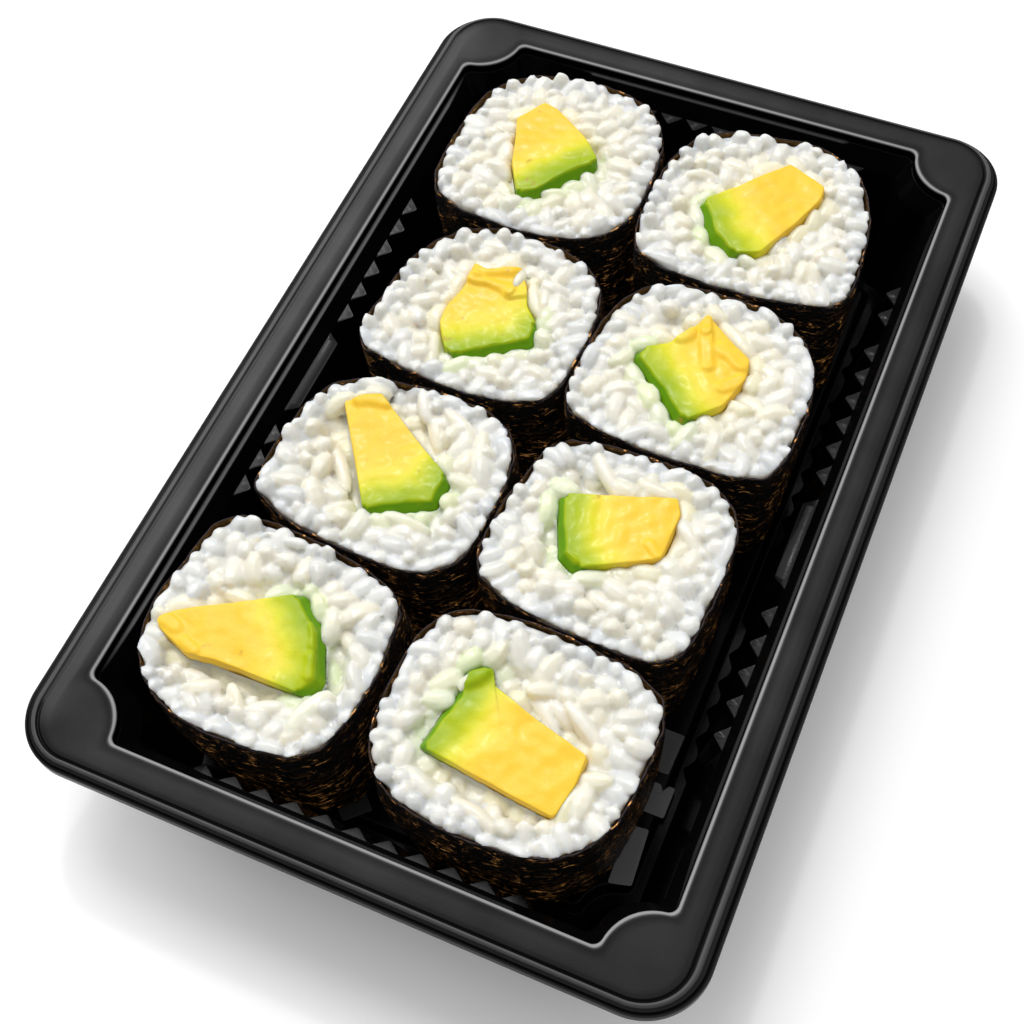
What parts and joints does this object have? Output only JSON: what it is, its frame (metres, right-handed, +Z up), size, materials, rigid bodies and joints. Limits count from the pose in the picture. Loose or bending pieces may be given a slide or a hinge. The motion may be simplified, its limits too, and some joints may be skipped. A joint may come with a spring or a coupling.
{
  "type": "takeaway sushi tray",
  "caption": "Black formed plastic takeaway tray holding two columns of thick cut sushi rolls, each a nori sleeve round rice with a piece of avocado.",
  "frame": {"origin": "centre of the bounding box's bottom face, on the surface that the tray stands on", "axes": "+Z up; +Y along the tray's long side, from the end with rolls 7 and 8 towards the end with rolls 1 and 2; +X along its short side"},
  "size_m": [0.108, 0.166, 0.0292],
  "materials": {
    "tray": "black formed plastic, satin on the rim and glossy in the well",
    "nori": "moist black-green seaweed sheet, wrinkled and glossy, amber where light passes",
    "rice": "cooked short-grain rice, moist and translucent white",
    "avocado": "ripe avocado flesh, yellow shading to lime green at its outer side"
  },
  "bodies": {
    "root": {"tray": "tray", "roll_1_nori": "nori", "roll_1_rice": "rice", "roll_1_avocado": "avocado", "roll_2_nori": "nori", "roll_2_rice": "rice", "roll_2_avocado": "avocado", "roll_3_nori": "nori", "roll_3_rice": "rice", "roll_3_avocado": "avocado", "roll_4_nori": "nori", "roll_4_rice": "rice", "roll_4_avocado": "avocado", "roll_5_nori": "nori", "roll_5_rice": "rice", "roll_5_avocado": "avocado", "roll_6_nori": "nori", "roll_6_rice": "rice", "roll_6_avocado": "avocado", "roll_7_nori": "nori", "roll_7_rice": "rice", "roll_7_avocado": "avocado", "roll_8_nori": "nori", "roll_8_rice": "rice", "roll_8_avocado": "avocado"}
  },
  "joints": []
}
